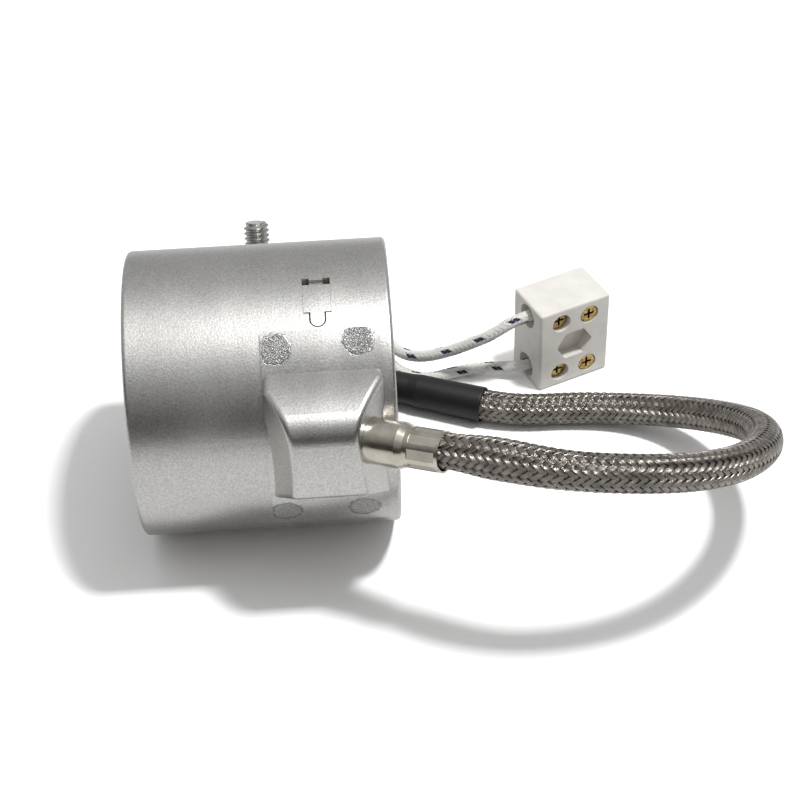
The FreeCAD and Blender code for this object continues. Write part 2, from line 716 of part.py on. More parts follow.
def ceramic_block():
    block = Part.makeBox(block_width, block_depth, block_height)
    block = block.makeFillet(block_fillet, block.Edges)
    cuts = []
    for height in pole_heights.values():
        cuts.append(cylinder(insert_radius + insert_gap, block_width, V(0, bore_depth, height), X_AXIS))
        for x, direction in ((-0.01, 1), (block_width + 0.01, -1)):
            cuts.append(Part.makeCone(funnel_radius, insert_radius + insert_gap, funnel_depth,
                                      V(x, bore_depth, height), X_AXIS * direction))
        for place in screw_places.values():
            cuts.append(cylinder(screw_hole_radius, bore_depth, V(place, -1, height), V(0, 1, 0)))
    w, h, s = recess_half_width, recess_half_height, recess_shoulder
    middle = V(block_width / 2, -1, block_height / 2)
    outline = [middle + V(x, 0, z) for x, z in ((-w, 0), (-s, h), (s, h), (w, 0), (s, -h), (-s, -h))]
    cuts.append(Part.Face(Part.makePolygon(outline + outline[:1])).extrude(V(0, recess_depth + 1, 0)))
    return place_block(block.cut(cuts))


def brass_insert(pole):
    height = pole_heights[pole]
    body = cylinder(insert_radius, insert_length, V(insert_start, bore_depth, height), X_AXIS)
    bore_length = (block_width - insert_stop) / 2
    cuts = [cylinder(insert_bore, bore_length, V(0, bore_depth, height), X_AXIS),
            cylinder(insert_bore, bore_length, V(block_width, bore_depth, height), X_AXIS * -1)]
    for place in screw_places.values():
        cuts.append(cylinder(pin_radius + pin_gap, bore_depth, V(place, 0, height), V(0, 1, 0)))
    return place_block(body.cut(cuts))


def terminal_screw(pole, place):
    """Cross-recessed screw, driven home on a lead or backed out for a supply wire."""
    depth = tight_depth if place == "lead" else open_depth
    home_length = bore_depth - conductor_radius - tip_gap - tight_depth - pin_head_height
    start = V(screw_places[place], depth, pole_heights[pole])
    head = cylinder(pin_head_radius, pin_head_height, start, V(0, 1, 0))
    shank = cylinder(pin_radius, home_length, start + V(0, pin_head_height, 0), V(0, 1, 0))
    arms = []
    for width, height in ((pin_head_radius * 1.3, cross_width), (cross_width, pin_head_radius * 1.3)):
        arms.append(Part.makeBox(width, 2 * cross_depth, height,
                                 start + V(-width / 2, -cross_depth, -height / 2)))
    return place_block(head.fuse(shank).cut(arms))


def build():
    """Every piece of the heater, by the name of its node."""
    pieces = {
        "outer_jacket": outer_jacket(),
        "inner_sheath": inner_sheath(),
        "inner_mica": inner_mica(),
        "mica_core": mica_core(),
        "outer_mica": outer_mica(),
        "resistance_ribbon": resistance_ribbon(),
        "lock_tab": lock_tab(),
        "plain_barrel": plain_barrel(),
        "threaded_barrel": threaded_barrel(),
        "clamp_screw": clamp_screw(),
        "terminal_hood": terminal_hood(),
        "terminal_pad": terminal_pad(),
        "ferrule": ferrule(),
        "braided_sleeve": braided_sleeve(),
        "heat_shrink": heat_shrink(),
        "ceramic_block": ceramic_block(),
    }
    for number, side in ((1, 1), (2, -1)):
        pieces["terminal_stud_%d" % number] = terminal_stud(side)
        pieces["lead_lug_%d" % number] = lead_lug(side)
        pieces["terminal_nut_%d" % number] = terminal_nut(side)
        pieces["hood_wire_%d" % number] = hood_wire(side)
        pieces["lead_%d" % number] = lead(number)
        pieces["brass_insert_%d" % number] = brass_insert(number)
        for place in screw_places:
            pieces["%s_screw_%d" % (place, number)] = terminal_screw(number, place)
    return pieces


os.makedirs("parts", exist_ok=True)
for node, shape in build().items():
    solids = shape.Solids
    print("%-20s solids %d valid %s volume %.1f" % (node, len(solids), shape.isValid(), shape.Volume))
    body = solids[0] if len(solids) == 1 else Part.makeCompound(solids)
    body.exportStep("parts/%s.step" % node)
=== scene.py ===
"""Looks of a mica band heater: satin sheet metal, a woven steel sleeve, a heat-shrink, two
glass-braided leads with tracers and a porcelain connector, on a white table."""
import json
from math import atan2, cos, radians, sin, tau

import bmesh
import bpy
from bpy.props import FloatProperty, FloatVectorProperty, IntProperty, PointerProperty
from mathutils import Matrix, Vector


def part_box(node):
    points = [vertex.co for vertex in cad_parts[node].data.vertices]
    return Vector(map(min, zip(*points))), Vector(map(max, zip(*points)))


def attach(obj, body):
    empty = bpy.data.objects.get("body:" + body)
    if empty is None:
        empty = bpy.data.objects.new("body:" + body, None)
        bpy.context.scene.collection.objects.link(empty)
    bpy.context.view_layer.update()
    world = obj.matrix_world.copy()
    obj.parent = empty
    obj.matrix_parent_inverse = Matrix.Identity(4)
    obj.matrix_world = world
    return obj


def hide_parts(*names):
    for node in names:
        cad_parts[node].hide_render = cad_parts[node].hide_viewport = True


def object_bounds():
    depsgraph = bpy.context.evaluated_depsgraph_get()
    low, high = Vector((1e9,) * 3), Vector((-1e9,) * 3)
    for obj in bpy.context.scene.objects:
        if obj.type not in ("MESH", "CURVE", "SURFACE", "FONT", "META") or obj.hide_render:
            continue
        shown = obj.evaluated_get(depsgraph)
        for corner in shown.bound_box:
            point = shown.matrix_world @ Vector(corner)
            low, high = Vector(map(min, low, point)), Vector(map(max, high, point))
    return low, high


bl_info = {
    "name": "Band heater",
    "version": (1, 0, 0),
    "blender": (4, 5, 0),
    "location": "View3D > Sidebar > Heater",
    "description": "Finishes and details for a packed mica band heater",
    "category": "Object",
}

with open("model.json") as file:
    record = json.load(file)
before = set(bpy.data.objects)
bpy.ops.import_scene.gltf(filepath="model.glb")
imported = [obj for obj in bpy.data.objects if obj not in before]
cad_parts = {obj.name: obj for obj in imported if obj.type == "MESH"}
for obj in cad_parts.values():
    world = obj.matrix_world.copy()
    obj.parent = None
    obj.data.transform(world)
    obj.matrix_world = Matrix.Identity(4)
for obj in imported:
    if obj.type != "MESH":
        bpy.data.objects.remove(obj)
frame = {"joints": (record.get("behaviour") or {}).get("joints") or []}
CAD_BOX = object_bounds()
MM = 0.001
CROSS_DEPTH = 0.7 * MM  # below a screw's face, where the painted shade in its cross is darkest


# ---- sizes that the panel shows ---------------------------------------------------------------
class HeaterSizes(bpy.types.PropertyGroup):
    """Sizes of the modelled details, in metres."""

    braid_diameter: FloatProperty(name="Braid diameter", description="Outside of the steel sleeve",
                                  default=8.2 * MM, unit="LENGTH")
    braid_carriers: IntProperty(name="Braid carriers", default=16, min=4,
                                description="Bundles each way, a multiple of four")
    braid_pitch: FloatProperty(name="Braid pitch", description="Length of one turn of a bundle",
                               default=32 * MM, unit="LENGTH")
    lead_diameter: FloatProperty(name="Lead diameter", description="Over the glass braid",
                                 default=3.1 * MM, unit="LENGTH")
    lead_carriers: IntProperty(name="Lead carriers", default=8, min=4,
                               description="Yarns each way, a multiple of four")
    lead_pitch: FloatProperty(name="Lead pitch", description="Length of one turn of a yarn",
                              default=10 * MM, unit="LENGTH")
    thread_pitch: FloatProperty(name="Thread pitch", description="Twenty threads to the inch",
                                default=1.27 * MM, unit="LENGTH")
    thread_depth: FloatProperty(name="Thread depth", description="From crest to root",
                                default=0.62 * MM, unit="LENGTH")
    weld_diameter: FloatProperty(name="Weld diameter", description="Mark of one spot weld",
                                 default=7.3 * MM, unit="LENGTH")


class HeaterLook(bpy.types.PropertyGroup):
    """Camera and light."""

    lens: FloatProperty(name="Lens", description="Focal length, millimetres", default=86.4)
    camera_place: FloatVectorProperty(name="Camera", description="Where the camera stands",
                                      default=(0.0171647, -0.3483556, 0.2941096), subtype="XYZ")
    camera_aim: FloatVectorProperty(name="Aim",
                                    description="Unit vector that the camera looks along",
                                    default=(0.029098, 0.728596, -0.684326), subtype="DIRECTION")
    camera_roll: FloatProperty(name="Roll", description="Tilt of the camera about its aim",
                               default=radians(1.95), subtype="ANGLE")
    camera_shift: FloatProperty(name="Shift", description="Vertical shift of the frame",
                                default=0.1)
    key_place: FloatVectorProperty(name="Key lamp", description="Where the main lamp hangs",
                                   default=(0.2726, -0.0457, 0.8036), subtype="XYZ")
    key_size: FloatProperty(name="Key lamp size", description="Side of the main lamp",
                            default=0.09, unit="LENGTH")
    key_power: FloatProperty(name="Key lamp power", description="Watts", default=5.3)


# ---- cord routes: control points of smooth curves, in millimetres ------------------------------
BRAID_ROUTE = [
    (36.4, -42.9, 15.9), (48.5, -49.4, 18.3), (63.0, -55.3, 18.6), (78.0, -55.8, 16.8),
    (92.5, -52.3, 12.8), (104.8, -43.8, 6.8), (113.2, -31.5, 0.0), (116.0, -17.0, -8.0),
    (112.0, -2.5, -17.0), (103.5, 9.2, -24.4), (91.5, 16.4, -28.6), (77.5, 19.0, -29.3),
    (64.5, 19.0, -29.2), (54.9, 21.2, -28.85), (46.6, 24.7, -28.85),
]
LEAD_ROUTES = {
    "lead_1": [
        (30.0, 31.75, -27.23), (22.8, 34.8, -27.23), (12.9, 38.8, -28.0), (9.9, 46.7, -28.4),
        (13.5, 54.3, -28.6), (21.4, 57.0, -28.6), (28.9, 53.2, -28.6), (34.0, 43.4, -28.4),
        (40.0, 39.6, -26.7), (46.3, 38.1, -24.1), (52.0, 36.7, -20.8), (57.4, 35.5, -17.3),
        (63.4, 36.0, -13.3), (69.17, 38.48, -13.3),
    ],
    "lead_2": [
        (30.0, 31.75, -30.47), (22.8, 34.8, -30.47), (10.5, 39.8, -31.8), (7.7, 48.2, -31.9),
        (11.9, 55.9, -31.9), (20.5, 57.9, -31.9), (27.8, 52.8, -31.9), (33.0, 39.6, -31.9),
        (40.4, 36.6, -31.9), (47.6, 38.8, -31.8), (54.8, 39.6, -31.4), (61.0, 38.0, -30.3),
        (65.26, 36.8, -29.3), (69.17, 38.48, -29.3),
    ],
}


# ---- small tools -------------------------------------------------------------------------------
def srgb(code):
    """A colour written as #RRGGBB, as the linear values that a shader takes."""
    values = [int(code[i:i + 2], 16) / 255 for i in (1, 3, 5)]
    linear = [v / 12.92 if v <= 0.04045 else ((v + 0.055) / 1.055) ** 2.4 for v in values]
    return (*linear, 1.0)


def per_metre(size_mm):
    """Texture scale whose features are about this many millimetres across."""
    return 1.0 / (size_mm * MM)


def node_object(node):
    """The Blender object of a CAD node."""
    return bpy.data.objects[node]


def add_node(tree, kind, inputs=None, output=0, **settings):
    """Adds one node to a tree and returns its output. An input is a value or another output."""
    node = tree.nodes.new(kind)
    for name, value in settings.items():
        setattr(node, name, value)
    for key, value in (inputs or {}).items():
        if isinstance(value, bpy.types.NodeSocket):
            tree.links.new(value, node.inputs[key])
        else:
            node.inputs[key].default_value = value
    return node.outputs[output]


class Surface:
    """A material under construction: its Principled shader and the nodes that feed it."""

    def __init__(self, name, **sockets):
        self.material = bpy.data.materials.new(name)
        self.material.use_nodes = True
        self.tree = self.material.node_tree
        self.shader = self.tree.nodes["Principled BSDF"]
        for socket, value in sockets.items():
            self.shader.inputs[socket.replace("_", " ")].default_value = value

    def add(self, kind, inputs=None, output=0, **settings):
        return add_node(self.tree, kind, inputs, output, **settings)

    def feed(self, socket, value):
        self.tree.links.new(value, self.shader.inputs[socket])

    def place(self, scale=(1, 1, 1)):
        """Object coordinates in metres, stretched for streaks."""
        coordinates = self.add("ShaderNodeTexCoord", output=3)
        return self.add("ShaderNodeMapping", {"Vector": coordinates, "Scale": scale})

    def noise(self, size_mm, detail=3.0, stretch=(1, 1, 1), roughness=0.5):
        return self.add("ShaderNodeTexNoise", {"Vector": self.place(stretch),
                                               "Scale": per_metre(size_mm),
                                               "Detail": detail, "Roughness": roughness})

    def blend_colours(self, factor, low, high):
        return self.add("ShaderNodeMix", {0: factor, 6: low, 7: high}, output=2, data_type="RGBA")

    def span(self, value, low, high, to_low=0.0, to_high=1.0):
        return self.add("ShaderNodeMapRange", {0: value, 1: low, 2: high, 3: to_low, 4: to_high})

    def math(self, operation, a, b=0.0):
        return self.add("ShaderNodeMath", {0: a, 1: b}, operation=operation)

    def distance_to(self, point):
        """How far a surface point lies from a point of the object, in metres."""
        coordinates = self.add("ShaderNodeTexCoord", output=3)
        return self.add("ShaderNodeVectorMath", {0: coordinates, 1: point}, output=1,
                        operation="DISTANCE")

    def bump(self, height, depth_mm, normal=None):
        inputs = {"Height": height, "Strength": 1.0, "Distance": depth_mm * MM}
        if normal:
            inputs["Normal"] = normal
        return self.add("ShaderNodeBump", inputs)


def dress(surface_material, *nodes):
    """Gives a material to every slot of some CAD nodes."""
    for node in nodes:
        piece = node_object(node)
        if not piece.material_slots:
            piece.data.materials.append(surface_material)
        for slot in piece.material_slots:
            slot.material = surface_material


def new_piece(name, mesh, body="root", replaced=()):
    """Puts a modelled mesh in the scene, on its body and in place of the CAD nodes it shows."""
    piece = bpy.data.objects.new(name, mesh)
    bpy.context.scene.collection.objects.link(piece)
    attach(piece, body)
    if replaced:
        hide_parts(*replaced)
    return piece


def smooth_line(name, route, spacing):
    """Evenly spaced points on the smooth curve that a route's points pull along."""
    curve = bpy.data.curves.new(name, "CURVE")
    curve.dimensions = "3D"
    spline = curve.splines.new("NURBS")
    spline.points.add(len(route) - 1)
    for point, place in zip(spline.points, route):
        point.co = (*(Vector(place) * MM), 1.0)
    spline.order_u = 3
    spline.use_endpoint_u = True
    spline.resolution_u = 32
    carrier = bpy.data.objects.new(name, curve)
    line = bpy.data.meshes.new_from_object(carrier)
    points = [vertex.co.copy() for vertex in line.vertices]
    bpy.data.objects.remove(carrier)
    bpy.data.meshes.remove(line)
    return even(points, spacing)


def even(points, spacing):
    """The same line with its points a steady distance apart."""
    lengths = [0.0]
    for a, b in zip(points, points[1:]):
        lengths.append(lengths[-1] + (b - a).length)
    count = max(2, round(lengths[-1] / spacing))
    result, k = [], 0
    for i in range(count + 1):
        target = lengths[-1] * i / count
        while k < len(points) - 2 and lengths[k + 1] < target:
            k += 1
        gap = lengths[k + 1] - lengths[k]
        result.append(points[k].lerp(points[k + 1], (target - lengths[k]) / gap if gap else 0.0))
    return result


def line_length(points):
    return sum((b - a).length for a, b in zip(points, points[1:]))


def frames_along(points):
    """Point, direction and two steady side vectors at each point of a line."""
    tangents = [(points[min(i + 1, len(points) - 1)] - points[max(i - 1, 0)]).normalized()
                for i in range(len(points))]
    side = tangents[0].orthogonal().normalized()
    frames = []
    for point, tangent in zip(points, tangents):
        side = (side - tangent * side.dot(tangent)).normalized()
        frames.append((point, tangent, side, tangent.cross(side)))
    return frames


# ---- woven cords -------------------------------------------------------------------------------
def woven(name, points, diameter, carriers, pitch, width_share, thickness, tracers=(), swell=None):
    """A tubular braid, two over and two under, round a core tube in the first material, which
    shows between the bundles and in the steel sleeve is dark painted shade. Bundles whose numbers
    are in tracers get the third material. Swell gives how much wider the braid is at a distance."""
    steepness = 1.7  # how quickly a bundle passes from over to under
    lift = thickness * 0.5
    mean = diameter / 2 - thickness / 2 - lift
    slant = atan2(tau * mean, pitch)
    half_width = 0.5 * width_share * tau * mean / carriers * cos(slant)
    # A bundle's rounded back: shares of its half width, and of its height there.
    across = (-1.0, -0.55, 0.0, 0.55, 1.0)
    crown = (0.0, 0.75, 1.0, 0.75, 0.0)
    crown_seat = 0.4  # share of the height that lies under the bundle's own middle
    frames = frames_along(points)
    step = line_length(points) / (len(points) - 1)
    mesh = bmesh.new()
    uv = mesh.loops.layers.uv.new("UVMap")

    def quad_strip(rows, material_index, closed=False):
        for r, (low, high) in enumerate(zip(rows, rows[1:])):
            width = len(low)
            for c in range(width if closed else width - 1):
                d = (c + 1) % width
                face = mesh.faces.new((low[c], low[d], high[d], high[c]))
                face.material_index = material_index
                face.smooth = True
                corners = ((c, r), (c + 1, r), (c + 1, r + 1), (c, r + 1))
                for loop, (u, v) in zip(face.loops, corners):
                    loop[uv].uv = (u / (len(across) - 1), v * step / MM)

    core_radius = mean - thickness * 0.6
    rim = 24
    rows = []
    wider = [swell(i * step) if swell else 1.0 for i in range(len(points))]
    for (point, _, side, up), wide in zip(frames, wider):
        rows.append([mesh.verts.new(point + (side * cos(tau * k / rim) + up * sin(tau * k / rim))
                                    * core_radius * wide) for k in range(rim)])
    quad_strip(rows, 0, closed=True)
    for turn in (1, -1):
        for number in range(carriers):
            rows = []
            for i, (point, tangent, side, up) in enumerate(frames):
                angle = tau * (number / carriers + turn * i * step / pitch)
                wave = max(-1.0, min(1.0, steepness * sin(angle * carriers / 2)))
                radius = mean * wider[i] + turn * lift * wave
                row = []
                for a, c in zip(across, crown):
                    swing = angle + a * half_width * cos(slant) / mean
                    along = -turn * a * half_width * sin(slant)
                    out = side * cos(swing) + up * sin(swing)
                    row.append(mesh.verts.new(point + tangent * along
                                              + out * (radius + (c - crown_seat) * thickness / 2)))
                rows.append(row)
            quad_strip(rows, 2 if turn == 1 and number in tracers else 1)
    data = bpy.data.meshes.new(name)
    bmesh.ops.recalc_face_normals(mesh, faces=mesh.faces)
    mesh.to_mesh(data)
    mesh.free()
    return data


# ---- materials ---------------------------------------------------------------------------------
def rolled_sheet(name, colour, roughness):
    """Aluminised sheet: a fine spangled grain that speckles every reflection, faint smears from
    handling, and hairlines round the band."""
    s = Surface(name, Metallic=1.0)
    grain = s.noise(0.42, detail=1.5, roughness=0.6)
    smear = s.noise(9.0, detail=4.0, stretch=(1.0, 0.5, 0.5))
    streak = s.noise(0.5, detail=2.0, stretch=(1.0, 0.06, 0.06))
    spangle = s.math("ADD", s.span(grain, 0.34, 0.66, 0.0, 0.8),
                     s.span(smear, 0.35, 0.75, 0.0, 0.2))
    s.feed("Base Color", s.blend_colours(spangle, srgb(colour), srgb("#D9D8D5")))
    wear = s.math("ADD", s.span(smear, 0.3, 0.7, roughness - 0.03, roughness + 0.03),
                  s.span(streak, 0.3, 0.8, -0.012, 0.015))
    s.feed("Roughness", wear)
    s.feed("Normal", s.bump(streak, 0.0012, s.bump(grain, 0.03)))
    return s


def spot_welds(s, centres, radius):
    """Spot welds pressed into a sheet: shallow pitted dishes, burnt grey and with painted shade
    that is darkest in the low pits, each inside a dark ring with a ragged edge."""
    wander = 0.35 * MM
    nearest = s.distance_to(centres[0])
    for centre in centres[1:]:
        nearest = s.math("MINIMUM", nearest, s.distance_to(centre))
    ragged = s.math("ADD", nearest, s.span(s.noise(1.1, detail=4.0), 0.3, 0.7, -wander, wander))
    dish = s.span(ragged, radius * 0.8, radius, 0.0, 1.0)
    inside = s.span(ragged, radius * 0.82, radius * 0.98, 1.0, 0.0)
    pits = s.math("MULTIPLY", inside, s.noise(0.75, detail=5.0, roughness=0.7))
    ring = s.math("MULTIPLY", s.span(ragged, radius * 0.86, radius * 0.96, 0.0, 1.0),
                  s.span(ragged, radius * 0.96, radius * 1.06, 1.0, 0.0))
    grain = s.shader.inputs["Normal"].links[0].from_socket
    s.feed("Normal", s.bump(pits, 0.5, s.bump(dish, 0.22, grain)))
    sheet = s.shader.inputs["Base Color"].links[0].from_socket
    # Burnt grey inside the weld, darkest where the pits' bump is lowest: real weld colour with
    # painted shade in the pits.
    weld_tint_and_pit_shade = s.math("MULTIPLY", inside, s.span(pits, 0.3, 0.62, 0.75, 0.1))
    weld_tinted_and_pit_shaded = s.blend_colours(weld_tint_and_pit_shade, sheet, srgb("#77767A"))
    rimmed = s.blend_colours(s.math("MULTIPLY", ring, 0.7), weld_tinted_and_pit_shaded, srgb("#4E4C4C"))
    s.feed("Base Color", rimmed)


def plain_metal(name, colour, roughness, grain_mm=0.3, depth_mm=0.006):
    """Turned or plated steel with a little unevenness in its gloss."""
    s = Surface(name, Metallic=1.0, Base_Color=srgb(colour))
    cloud = s.noise(2.5, detail=3.0)
    s.feed("Roughness", s.span(cloud, 0.3, 0.7, roughness - 0.06, roughness + 0.06))
    s.feed("Normal", s.bump(s.noise(grain_mm), depth_mm))
    return s


def mica_sheet():
    """Pressed mica paper: pale, flaky and matte."""
    s = Surface("Mica, pressed paper", Roughness=0.75)
    flakes = s.noise(1.2, detail=5.0)
    s.feed("Base Color", s.blend_colours(s.span(flakes, 0.3, 0.7),
                                         srgb("#A8977A"), srgb("#CDBFA3")))
    return s.material


def steel_wire_bundle():
    """Bundles of bright wire laid side by side: fine ridges along each bundle, so highlights
    break into sparks."""
    s = Surface("Stainless wire, woven", Metallic=1.0)
    coordinates = s.add("ShaderNodeUVMap", uv_map="UVMap")
    ridges = s.add("ShaderNodeTexWave", {"Vector": coordinates, "Scale": 2.2, "Distortion": 0.15},
                   output=1, bands_direction="X", wave_profile="SIN")
    tint = s.noise(3.0, detail=3.0)
    s.feed("Base Color", s.blend_colours(s.span(tint, 0.3, 0.7), srgb("#7D7872"), srgb("#ABA59D")))
    s.feed("Roughness", s.span(tint, 0.3, 0.7, 0.2, 0.3))
    s.feed("Normal", s.bump(ridges, 0.05))
    return s.material


def braid_painted_shade():
    """What shows between the bundles: a brown-grey sheet that paints the shade inside the braid.
    """
    s = Surface("Braid core, painted shade", Roughness=0.8, Base_Color=srgb("#2B2622"))
    return s.material


def glass_yarn(name, low, high):
    """Braided fibreglass yarn: matte, with single filaments as fine ridges."""
    s = Surface(name, Roughness=0.7, Sheen_Weight=0.15)
    coordinates = s.add("ShaderNodeUVMap", uv_map="UVMap")
    ridges = s.add("ShaderNodeTexWave", {"Vector": coordinates, "Scale": 1.6, "Distortion": 0.8},
                   output=1, bands_direction="X", wave_profile="SIN")
    fuzz = s.noise(0.4, detail=4.0)
    s.feed("Base Color", s.blend_colours(s.span(fuzz, 0.3, 0.7), srgb(low), srgb(high)))
    s.feed("Normal", s.bump(ridges, 0.03))
    return s.material


def shrink_rubber():
    """Heat-shrunk polyolefin: near black, soft satin highlight, faint waves from heating."""
    s = Surface("Polyolefin, heat-shrunk", Base_Color=srgb("#121214"))
    wave = s.noise(5.0, detail=3.0)
    s.feed("Roughness", s.span(wave, 0.3, 0.7, 0.42, 0.52))
    s.feed("Normal", s.bump(s.noise(0.5), 0.01, s.bump(wave, 0.12)))
    return s.material


def porcelain():
    """Fired steatite: warm white, even, with a dull glaze and pressed-powder grain."""
    s = Surface("Steatite, fired", Subsurface_Weight=0.08, Subsurface_Scale=0.002)
    cloud = s.noise(4.0, detail=4.0)
    s.feed("Base Color", s.blend_colours(s.span(cloud, 0.3, 0.7),
                                         srgb("#DEDCD5"), srgb("#E7E5DF")))
    s.feed("Roughness", s.span(cloud, 0.3, 0.7, 0.34, 0.44))
    s.feed("Normal", s.bump(s.noise(0.25), 0.006))
    return s.material


def passivated(name, face, axis):
    """Yellow-passivated steel screw: gold with red and green tints, its cross darkened with depth
    by painted shade.
    """
    s = Surface(name, Metallic=1.0)
    tint = s.noise(0.9, detail=2.0)
    gold = s.blend_colours(s.span(tint, 0.35, 0.65), srgb("#96703A"), srgb("#C9B67E"))
    coordinates = s.add("ShaderNodeTexCoord", output=3)
    offset = s.add("ShaderNodeVectorMath", {0: coordinates, 1: face}, operation="SUBTRACT")
    depth = s.add("ShaderNodeVectorMath", {0: offset, 1: axis}, output=1, operation="DOT_PRODUCT")
    # Painted shade: the cross recess turns dark brown the deeper it lies below the face.
    cross_painted_shade = s.span(depth, -CROSS_DEPTH, -0.1 * MM, 1.0, 0.0)
    s.feed("Base Color", s.blend_colours(cross_painted_shade, gold, srgb("#4A2314")))
    s.feed("Roughness", s.span(tint, 0.3, 0.7, 0.22, 0.34))
    return s.material


# ---- operators ---------------------------------------------------------------------------------
class HEATER_OT_band(bpy.types.Operator):
    """Finishes the band's jacket, its layers and its lock tab"""

    bl_idname = "heater.band"
    bl_label = "Band"

    def execute(self, context):
        sheet = rolled_sheet("Aluminised sheet, rolled", "#B9B8B6", 0.34)
        dress(sheet.material, "outer_jacket", "lock_tab")
        liner = rolled_sheet("Aluminised sheet, bore side", "#A6A5A2", 0.42)
        dress(liner.material, "inner_sheath")
        dress(mica_sheet(), "inner_mica", "mica_core", "outer_mica", "terminal_pad")
        ribbon = plain_metal("Resistance ribbon, drawn", "#7E7A74", 0.4)
        dress(ribbon.material, "resistance_ribbon")
        return {"FINISHED"}


class HEATER_OT_hood(bpy.types.Operator):
    """Finishes the terminal hood with its four spot welds, and the terminals under it"""

    bl_idname = "heater.hood"
    bl_label = "Terminal hood"

    # Along the band in millimetres, and angle round it in degrees.
    welds = ((3.8, 53.7), (22.3, 55.6), (3.8, -16.8), (21.6, -16.7))
    flange_gauge = 0.8 * MM

    def execute(self, context):
        sizes = context.scene.heater_sizes
        jacket_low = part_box("outer_jacket")[0]
        flange_radius = -jacket_low[2] + self.flange_gauge
        s = rolled_sheet("Aluminised sheet, pressed and spot-welded", "#B9B8B6", 0.3)
        centres = [(x * MM, -flange_radius * cos(radians(angle)),
                    flange_radius * sin(radians(angle))) for x, angle in self.welds]
        spot_welds(s, centres, sizes.weld_diameter / 2)
        dress(s.material, "terminal_hood")
        zinc = plain_metal("Zinc-plated steel, terminals", "#B4B3AE", 0.3)
        dress(zinc.material, "terminal_stud_1", "terminal_stud_2", "terminal_nut_1",
              "terminal_nut_2")
        tinned = plain_metal("Copper lugs, tinned", "#BDB2A2", 0.35)
        dress(tinned.material, "lead_lug_1", "lead_lug_2")
        yarn = glass_yarn("Fibreglass, lead in the hood", "#DAD7CC", "#EFEDE6")
        dress(yarn, "hood_wire_1", "hood_wire_2")
        return {"FINISHED"}


class HEATER_OT_clamp(bpy.types.Operator):
    """Finishes the clamp and cuts the thread of its screw"""

    bl_idname = "heater.clamp"
    bl_label = "Clamp"

    threaded_end = 6 * MM  # near the tip, where the shank's radius is measured
    wider_than_shank = 1.2  # what is this much wider belongs to the head

    def execute(self, context):
        sizes = context.scene.heater_sizes
        steel = plain_metal("Zinc-plated steel, turned", "#BDBDBB", 0.26).material
        dress(steel, "plain_barrel", "threaded_barrel", "clamp_screw")
        joint = next(j for j in frame["joints"] if j["child"] == "clamp_screw")
        origin, axis = Vector(joint["pos_m"]), Vector(joint["axis"]).normalized()
        cad = node_object("clamp_screw").data
        heights = [(v.co - origin).dot(axis) for v in cad.vertices]
        radii = [((v.co - origin) - axis * h).length for v, h in zip(cad.vertices, heights)]
        tip = max(heights)
        shank = max(r for r, h in zip(radii, heights) if h > tip - self.threaded_end)
        seat = max(h for r, h in zip(radii, heights) if r > shank * self.wider_than_shank)
        mesh = bmesh.new()
        mesh.from_mesh(cad)
        every = mesh.verts[:] + mesh.edges[:] + mesh.faces[:]
        bmesh.ops.bisect_plane(mesh, geom=every, plane_co=origin + axis * (seat + 0.01 * MM),
                               plane_no=axis, clear_outer=True)
        self.thread(mesh, origin, axis, seat, tip, shank, sizes)
        data = bpy.data.meshes.new("clamp_screw_threaded")
        mesh.to_mesh(data)
        mesh.free()
        data.materials.append(steel)
        new_piece("clamp_screw_threaded", data, "clamp_screw", ("clamp_screw",))
        return {"FINISHED"}

    def thread(self, mesh, origin, axis, seat, tip, radius, sizes):
        """One helical ridge from the head's seat to the chamfered tip."""
        side = axis.orthogonal().normalized()
        up = axis.cross(side)
        steps = 32  # points in one turn
        chamfer_length, chamfer_slope, core_radius = 0.9 * MM, 0.9, 0.3 * MM
        pitch, depth = sizes.thread_pitch, sizes.thread_depth
        # Share of the pitch, and depth under the crest there.
        profile = ((0.0, depth), (0.36, 0.0), (0.5, 0.0), (0.86, depth))
        turns = int((tip - seat) / pitch) + 2
        rows = []
        for n in range(turns * steps):
            angle = tau * n / steps
            row = []
            for share, sink in profile:
                height = seat - pitch + pitch * (n / steps + share)
                height = min(max(height, seat), tip)
                chamfer = max(0.0, height - (tip - chamfer_length)) * chamfer_slope
                r = max(radius - max(sink, chamfer), core_radius)
                out = side * cos(angle) + up * sin(angle)
                row.append(mesh.verts.new(origin + axis * height + out * r))
            rows.append(row)
        last = len(profile) - 1
        for n in range(len(rows) - 1):
            for c in range(last):
                mesh.faces.new((rows[n][c], rows[n][c + 1], rows[n + 1][c + 1], rows[n + 1][c]))
            if n + 1 + steps < len(rows):
                mesh.faces.new((rows[n][last], rows[n + steps][0], rows[n + steps + 1][0],
                                rows[n + 1][last]))
        end = mesh.verts.new(origin + axis * tip)
        for n in range(len(rows) - steps, len(rows) - 1):
            mesh.faces.new((end, rows[n][last], rows[n + 1][last]))
        bmesh.ops.remove_doubles(mesh, verts=mesh.verts, dist=1e-7)
        bmesh.ops.recalc_face_normals(mesh, faces=mesh.faces)


class HEATER_OT_ferrule(bpy.types.Operator):
    """Finishes the crimped ferrule"""

    bl_idname = "heater.ferrule"
    bl_label = "Ferrule"

    def execute(self, context):
        s = Surface("Brass, nickel-plated and crimped", Metallic=1.0)
        cloud = s.noise(3.0, detail=3.0)
        s.feed("Base Color", s.blend_colours(s.span(cloud, 0.3, 0.7),
                                             srgb("#BDB8AB"), srgb("#D6D1C5")))
        s.feed("Roughness", s.span(cloud, 0.3, 0.7, 0.13, 0.24))
        s.feed("Normal", s.bump(s.noise(0.4), 0.004))
        dress(s.material, "ferrule")
        return {"FINISHED"}


